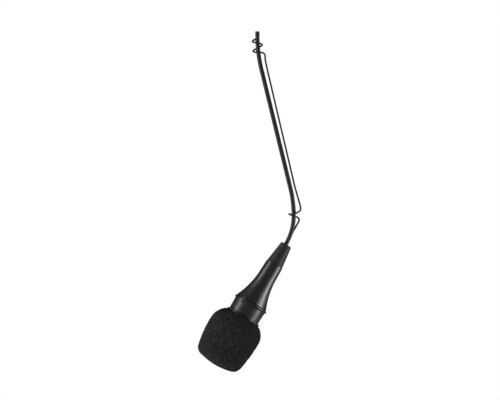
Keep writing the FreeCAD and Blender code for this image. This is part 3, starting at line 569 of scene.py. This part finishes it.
def housing_plastic():
    """Glossy black moulded plastic with a faint orange peel, dust and fine rubbed scratches."""
    recipe = Recipe("housing_plastic", along_head=True)
    peel = recipe.noise(1.6, 2)
    dust = recipe.ramp(recipe.noise(0.35, 3), (0.68, 0.0), (0.8, 1.0))
    scratches = recipe.ramp(recipe.noise(0.5, 2, recipe.stretched(1, 1, 0.06)), (0.62, 0.0), (0.66, 1.0))
    smudge = recipe.ramp(recipe.noise(6, 4), (0.4, 0.0), (0.7, 1.0))
    colour = recipe.blend(recipe.maths("MULTIPLY", dust, 0.35), (0.0165, 0.0167, 0.017), (0.05, 0.05, 0.05))
    rough = recipe.maths("ADD", recipe.maths("MULTIPLY", smudge, 0.06), 0.35)
    rough = recipe.maths("ADD", rough, recipe.maths("MULTIPLY", scratches, 0.05))
    normal = recipe.bump(recipe.noise(0.25, 2), 0.0008, recipe.bump(peel, 0.005))
    return recipe.finish(Base_Color=colour, Roughness=rough, Normal=normal, IOR=1.5,
                         Coat_Weight=0.12, Coat_Roughness=0.22)


def boot_rubber():
    """Matte dark grey moulded rubber: fine grain, a little bloom and dust."""
    recipe = Recipe("boot_rubber", along_head=True)
    grain = recipe.noise(0.18, 3)
    bloom = recipe.ramp(recipe.noise(3.5, 4), (0.35, 0.0), (0.75, 1.0))
    colour = recipe.blend(bloom, (0.019, 0.0195, 0.020), (0.026, 0.0265, 0.027))
    specks = recipe.ramp(recipe.cells(0.9), (0.03, 1.0), (0.09, 0.0))
    colour = recipe.blend(recipe.maths("MULTIPLY", specks, 0.3), colour, (0.07, 0.07, 0.07))
    rough = recipe.maths("ADD", recipe.maths("MULTIPLY", grain, 0.15), 0.46)
    normal = recipe.bump(grain, 0.012, recipe.bump(recipe.noise(1.4), 0.015))
    return recipe.finish(Base_Color=colour, Roughness=rough, Normal=normal, Specular_IOR_Level=0.2,
                         Sheen_Weight=0.05)


def cable_rubber():
    """Satin black extruded jacket: lengthwise drag lines, scuffs and a slight mottling."""
    recipe = Recipe("cable_rubber")
    lines = recipe.noise(0.22, 2, recipe.stretched(1, 1, 0.03))
    scuff = recipe.ramp(recipe.noise(1.1, 4, recipe.stretched(1, 1, 0.35)), (0.55, 0.0), (0.72, 1.0))
    colour = recipe.blend(recipe.maths("MULTIPLY", scuff, 0.5), (0.016, 0.016, 0.018), (0.045, 0.045, 0.05))
    rough = recipe.maths("ADD", recipe.maths("MULTIPLY", scuff, 0.15), 0.34)
    normal = recipe.bump(lines, 0.025, recipe.bump(recipe.noise(0.3, 3), 0.015))
    return recipe.finish(Base_Color=colour, Roughness=rough, Normal=normal, Specular_IOR_Level=0.35)


def hanger_metal():
    """Coated spring-steel wire: dark satin coat, rubbed through in places to brighter metal."""
    recipe = Recipe("hanger_metal")
    rubbed = recipe.ramp(recipe.noise(0.9, 5, recipe.stretched(1, 1, 0.3)), (0.56, 0.0), (0.68, 1.0))
    colour = recipe.blend(rubbed, (0.020, 0.020, 0.023), (0.09, 0.09, 0.10))
    metal = recipe.maths("ADD", recipe.maths("MULTIPLY", rubbed, 0.5), 0.15)
    rough = recipe.maths("ADD", recipe.maths("MULTIPLY", recipe.noise(0.4, 3), 0.2), 0.34)
    normal = recipe.bump(recipe.noise(0.25, 3, recipe.stretched(1, 1, 0.2)), 0.02)
    return recipe.finish(Base_Color=colour, Metallic=metal, Roughness=rough, Normal=normal,
                         Specular_IOR_Level=0.35, Specular_Tint=(*grey(0.4), 1))


def foam_material():
    """Open-cell acoustic foam in uneven patches: painted shade darkens the open cells between the paler strands,
    and bright specks are painted glints.
    """
    recipe = Recipe("foam", along_head=True)
    wobble = recipe.node("TexNoise", {"Vector": recipe.place, "Scale": 1.3, "Detail": 2.0}, "Color")
    shift = recipe.node("VectorMath", {0: wobble, 1: (1.1, 1.1, 1.1)}, operation="MULTIPLY")
    place = recipe.node("VectorMath", {0: recipe.place, 1: shift}, operation="ADD")
    edge = recipe.cells(1.25, "DISTANCE_TO_EDGE", place=place)
    strands = recipe.ramp(edge, (0.03, 1.0), (0.24, 0.0))
    small = recipe.ramp(recipe.cells(0.55, "DISTANCE_TO_EDGE", place=place), (0.03, 1.0), (0.26, 0.0))
    patches = recipe.ramp(recipe.noise(1.9, 4), (0.42, 0.0), (0.62, 1.0))
    glints = recipe.ramp(recipe.cells(1.5), (0.10, 1.0), (0.24, 0.0))
    level = recipe.maths("ADD", recipe.maths("MULTIPLY", strands, 0.6), recipe.maths("MULTIPLY", small, 0.3))
    unevenness = recipe.maths("ADD", recipe.maths("MULTIPLY", patches, 0.75), 0.25)
    level = recipe.maths("MULTIPLY", level, unevenness)
    # Painted shade: the open cells take the dark colour and the strands the pale one, as shade falls in the pores.
    colour = recipe.blend(level, (0.0034, 0.0034, 0.0036), (0.040, 0.040, 0.041))
    glint = recipe.maths("MULTIPLY", glints, recipe.maths("MULTIPLY", patches, 0.5))
    colour = recipe.blend(glint, colour, (0.075, 0.075, 0.075))
    height = recipe.maths("ADD", strands, recipe.maths("MULTIPLY", small, 0.5))
    normal = recipe.bump(height, 0.3)
    return recipe.finish(Base_Color=colour, Roughness=0.9, Normal=normal, Specular_IOR_Level=0.22,
                         Sheen_Weight=0.03, Sheen_Roughness=0.6)


def rim_material():
    """Black rubber-like bead, smoother than the boot, with faint mould marks and dust."""
    recipe = Recipe("rim_bead", along_head=True)
    dust = recipe.ramp(recipe.noise(0.4, 4), (0.6, 0.0), (0.75, 1.0))
    colour = recipe.blend(recipe.maths("MULTIPLY", dust, 0.3), (0.009, 0.009, 0.009), (0.06, 0.06, 0.06))
    rough = recipe.maths("ADD", recipe.maths("MULTIPLY", recipe.noise(0.8, 3), 0.15), 0.3)
    return recipe.finish(Base_Color=colour, Roughness=rough, Normal=recipe.bump(recipe.noise(0.3, 3), 0.01))


def speckled(name, dark, light, roughness, size, metallic=0.0, depth=0.01, stretch=None, **more):
    """A surface with two shades mixed by fine grain, and a grain in its roughness and its relief."""
    recipe = Recipe(name, along_head=True)
    place = recipe.stretched(*stretch) if stretch else None
    grain = recipe.noise(size, 4, place)
    colour = recipe.blend(recipe.ramp(grain, (0.35, 0.0), (0.68, 1.0)), dark, light)
    rough = recipe.maths("ADD", recipe.maths("MULTIPLY", grain, 0.25), roughness - 0.12)
    normal = recipe.bump(grain, depth)
    return recipe.finish(Base_Color=colour, Roughness=rough, Metallic=metallic, Normal=normal, **more)


# The radius at which the woven wires are spaced as asked.
WEAVE_RADIUS = 8.0


def woven_metal(name, size, dark, light, depth):
    """Fine wires crossing over and under, drawn round the microphone's axis, with painted shade darkening the gaps
    between them.
    """
    recipe = Recipe(name, along_head=True)
    split = recipe.tree.nodes.new("ShaderNodeSeparateXYZ")
    recipe.feed(split.inputs[0], recipe.place)
    angle = recipe.maths("ARCTAN2", split.outputs["Y"], split.outputs["X"])
    around = recipe.maths("MULTIPLY", angle, WEAVE_RADIUS)
    waves = []
    for operation in ("ADD", "SUBTRACT"):
        across = recipe.maths(operation, around, split.outputs["Z"])
        waves.append(recipe.maths("SINE", recipe.maths("MULTIPLY", across, ROUND / size)))
    over = recipe.maths("MAXIMUM", *waves)
    # Painted shade: the gaps between the wires, and where they dip under each other, take the dark colour.
    colour = recipe.blend(recipe.ramp(over, (0.2, 0.0), (0.9, 1.0)), dark, light)
    return recipe.finish(Base_Color=colour, Metallic=0.9, Roughness=0.38, Normal=recipe.bump(over, depth))


def circuit_material():
    """Green solder mask over copper tracks, with tinned pads and woven glass showing faintly."""
    recipe = Recipe("circuit_board", along_head=True)
    tracks = recipe.node("TexBrick", {"Vector": recipe.place, "Scale": 0.45, "Mortar Size": 0.035,
                                      "Mortar Smooth": 0.1}, "Fac")
    pads = recipe.ramp(recipe.cells(1.9, randomness=0.3), (0.14, 1.0), (0.17, 0.0))
    weave = recipe.noise(0.25, 2)
    mask = recipe.blend(recipe.maths("MULTIPLY", weave, 0.6), (0.012, 0.10, 0.04), (0.02, 0.16, 0.07))
    colour = recipe.blend(tracks, mask, (0.05, 0.26, 0.10))
    colour = recipe.blend(pads, colour, (0.72, 0.70, 0.66))
    relief = recipe.maths("ADD", tracks, pads)
    return recipe.finish(Base_Color=colour, Metallic=recipe.maths("MULTIPLY", pads, 0.9), Roughness=0.32,
                         Normal=recipe.bump(relief, 0.03))


def insulation_material():
    """Coloured wire insulation, one lead red and the other white, by the side it lies on."""
    recipe = Recipe("wire_insulation")
    split = recipe.tree.nodes.new("ShaderNodeSeparateXYZ")
    recipe.feed(split.inputs[0], recipe.place)
    side = recipe.maths("GREATER_THAN", split.outputs["Y"], 0.0)
    grain = recipe.noise(0.3, 3)
    colour = recipe.blend(side, (0.45, 0.03, 0.025), (0.62, 0.60, 0.56))
    colour = recipe.blend(recipe.maths("MULTIPLY", grain, 0.3), colour, (0.1, 0.05, 0.05))
    return recipe.finish(Base_Color=colour, Roughness=0.42, Normal=recipe.bump(grain, 0.01))


def make_materials():
    """One material for each of the record's slots."""
    metal = {"metallic": 1.0}
    brass_dark, brass_light = (0.5, 0.34, 0.11), (0.72, 0.53, 0.22)
    film_dark, film_light = (0.75, 0.6, 0.3), (0.9, 0.75, 0.42)
    resin_dark, resin_light = (0.55, 0.52, 0.42), (0.68, 0.65, 0.55)
    sleeve_dark, sleeve_light = (0.02, 0.03, 0.09), (0.04, 0.05, 0.14)
    return {
        "cable_jacket": cable_rubber(),
        "cable_shield": woven_metal("cable_braid", 0.35, grey(0.12), (0.75, 0.74, 0.72), 0.05),
        "conductor": insulation_material(),
        "hanger_wire": hanger_metal(),
        "boot_rubber": boot_rubber(),
        "housing": housing_plastic(),
        "rim_ring": rim_material(),
        "grille": speckled("grille_paint", grey(0.012), grey(0.03), 0.4, 0.35, metallic=0.3, depth=0.03),
        "grille_mesh": woven_metal("grille_mesh", 0.3, grey(0.04), grey(0.45), 0.06),
        "foam": foam_material(),
        "capsule_can": speckled("drawn_aluminium", grey(0.55), grey(0.72), 0.3, 0.6, stretch=(1, 1, 0.1),
                                **metal),
        "brass": speckled("turned_brass", brass_dark, brass_light, 0.28, 0.5, stretch=(1, 1, 6), **metal),
        "diaphragm": speckled("metallised_film", film_dark, film_light, 0.14, 3.0, **metal),
        "insulator": speckled("moulded_insulator", resin_dark, resin_light, 0.45, 0.7),
        "felt": speckled("pressed_felt", grey(0.3), grey(0.62), 0.95, 0.2, depth=0.08, Sheen_Weight=0.4),
        "circuit_board": circuit_material(),
        "chip": speckled("chip_epoxy", grey(0.012), grey(0.035), 0.5, 0.2, depth=0.02),
        "capacitor": speckled("capacitor_sleeve", sleeve_dark, sleeve_light, 0.3, 1.0),
        "mount_rubber": speckled("mount_rubber", grey(0.012), grey(0.03), 0.62, 0.3, depth=0.03),
        "lock_ring": speckled("lock_ring_plastic", grey(0.015), grey(0.035), 0.4, 0.4),
        "steel": speckled("bright_steel", grey(0.42), grey(0.6), 0.3, 0.4, stretch=(1, 1, 0.2), **metal),
    }


def paint_cad_nodes(materials):
    """Every carried-over node takes its slot's material."""
    slots = {part["node"]: part["material_slot"] for part in frame["record"]["subparts"]}
    for name, node in frame["nodes"].items():
        for holder in node.material_slots:
            holder.material = materials[slots[name]]


# ---- floor, light and camera ----

# In metres, as the lights and the camera are placed in metres.
FLOOR_DROP = 0.42
FLOOR_HALF = 4.0
FLOOR_WHITE = 0.93
FLOOR_SHADE = 0.91
FLOOR_GLOW = 0.78


def build_stage():
    """A wide pale floor, well below the hanging microphone, open on every side and clear from below."""
    height = CAD_BOX[0][2] - FLOOR_DROP
    signs = ((-1, -1), (1, -1), (1, 1), (-1, 1))
    corners = [Vector((FLOOR_HALF * x, FLOOR_HALF * y, height)) / MM for x, y in signs]
    recipe = Recipe("pale_floor")
    colour = recipe.blend(recipe.noise(60, 3), grey(FLOOR_SHADE), grey(FLOOR_WHITE))
    seen = recipe.node("LightPath", {}, "Is Camera Ray")
    glow = recipe.maths("MULTIPLY", seen, FLOOR_GLOW)
    cover = recipe.maths("SUBTRACT", 1.0, recipe.node("NewGeometry", {}, "Backfacing"))
    material = recipe.finish(Base_Color=colour, Roughness=0.85, Alpha=cover, Emission_Color=(1, 1, 1, 1),
                             Emission_Strength=glow)
    make_object("floor", corners, [(0, 1, 2, 3)], material)


# Strips that glint on the microphone: (name, across, along, width and length, power). All are STRIP_DISTANCE
# metres from the point they are aimed at, which is at the station STRIP_AIM.
STRIP_DISTANCE = 0.8
STRIP_AIM = 45
STRIPS = (
    ("right_strip", 0.61, 0.28, (0.38, 0.8), 9.5),
    ("left_strip", -0.58, -0.06, (0.30, 0.8), 4.5),
)

# Soft boxes for even light: (name, place with its height from the object's middle, side, power).
SOFTBOXES = (
    ("top_softbox", (0.0, -0.3, 1.1), 0.7, 4.0),
    ("left_fill", (-1.2, -0.5, -0.3), 0.5, 10.5),
    ("low_fill", (-0.55, -0.55, -0.38), 0.3, 2.6),
)
WORLD_LIGHT = 0.16
WORLD_GLINT = 0.06


def add_softbox(name, place, aim, size, power):
    """A rectangular area light that glossy surfaces don't mirror."""
    light = bpy.data.lights.new(name, "AREA")
    light.shape = "RECTANGLE"
    light.size, light.size_y = size
    light.energy = power
    item = bpy.data.objects.new(name, light)
    item.visible_glossy = False
    item.location = place
    item.rotation_euler = (aim - Vector(place)).to_track_quat("-Z", "Y").to_euler()
    bpy.context.scene.collection.objects.link(item)
    return item


def add_strip(name, across, along, size, power):
    """A soft strip light in line with the microphone that shows only as a glint. It is placed by where it
    glints: across runs from -1 at the microphone's left edge to 1 at its right, and along leans the light
    towards the boot."""
    towards_camera = Vector((0, -1, 0))
    right = HEAD_TURN @ Vector((-1, 0, 0))
    halfway = right * across + towards_camera * math.sqrt(1 - across**2) - HEAD_AXIS * along
    halfway.normalize()
    way = halfway * (2 * halfway.dot(towards_camera)) - towards_camera
    aim = head_point(0, 0, STRIP_AIM) * MM
    facing = -way
    long_side = (HEAD_AXIS - facing * HEAD_AXIS.dot(facing)).normalized()
    turn = Matrix((facing.cross(long_side), long_side, -facing)).transposed()
    item = add_softbox(name, aim + way * STRIP_DISTANCE, aim, size, power)
    item.rotation_euler = turn.to_euler()
    item.visible_glossy = True
    item.visible_diffuse = False


def build_world():
    """White to the camera, a dim even light to the object, and dimmer still in its reflections."""
    world = bpy.data.worlds.new("studio")
    world.use_nodes = True
    tree = world.node_tree
    lit = tree.nodes["Background"]
    seen = tree.nodes.new("ShaderNodeBackground")
    path = tree.nodes.new("ShaderNodeLightPath")
    gloss = tree.nodes.new("ShaderNodeMapRange")
    mixer = tree.nodes.new("ShaderNodeMixShader")
    for background in (lit, seen):
        background.inputs["Color"].default_value = (1, 1, 1, 1)
    gloss.inputs["To Min"].default_value = WORLD_LIGHT
    gloss.inputs["To Max"].default_value = WORLD_GLINT
    tree.links.new(path.outputs["Is Glossy Ray"], gloss.inputs["Value"])
    tree.links.new(gloss.outputs["Result"], lit.inputs["Strength"])
    tree.links.new(path.outputs["Is Camera Ray"], mixer.inputs["Fac"])
    tree.links.new(lit.outputs[0], mixer.inputs[1])
    tree.links.new(seen.outputs[0], mixer.inputs[2])
    tree.links.new(mixer.outputs[0], tree.nodes["World Output"].inputs["Surface"])
    bpy.context.scene.world = world


def build_lights(middle):
    for name, across, along, size, power in STRIPS:
        add_strip(name, across, along, size, power)
    for name, (x, y, rise), side, power in SOFTBOXES:
        add_softbox(name, (x, y, middle.z + rise), middle, (side, side), power)


# VIEW_HEIGHT is how much the picture's height takes in, in metres, at the object.
CAMERA_DISTANCE = 1.2
CAMERA_ELEVATION = math.radians(-6)
VIEW_HEIGHT = 0.275
SENSOR_WIDTH = 36.0
FRAME_ASPECT = 500 / 400


def build_camera(middle):
    """A long lens in front of the object and a little below its middle."""
    camera = bpy.data.cameras.new("camera")
    camera.sensor_width = SENSOR_WIDTH
    camera.lens = SENSOR_WIDTH * CAMERA_DISTANCE / (VIEW_HEIGHT * FRAME_ASPECT)
    item = bpy.data.objects.new("camera", camera)
    back = Vector((0, -math.cos(CAMERA_ELEVATION), math.sin(CAMERA_ELEVATION)))
    item.location = middle + back * CAMERA_DISTANCE
    item.rotation_euler = (-back).to_track_quat("-Z", "Y").to_euler()
    bpy.context.scene.collection.objects.link(item)
    bpy.context.scene.camera = item
    bpy.context.scene.view_settings.view_transform = "Standard"


materials = make_materials()
paint_cad_nodes(materials)
build_cable(materials)
build_wire(materials)
build_foam(materials)
centre = (Vector(CAD_BOX[0]) + Vector(CAD_BOX[1])) / 2
build_stage()
build_lights(centre)
build_world()
build_camera(centre)
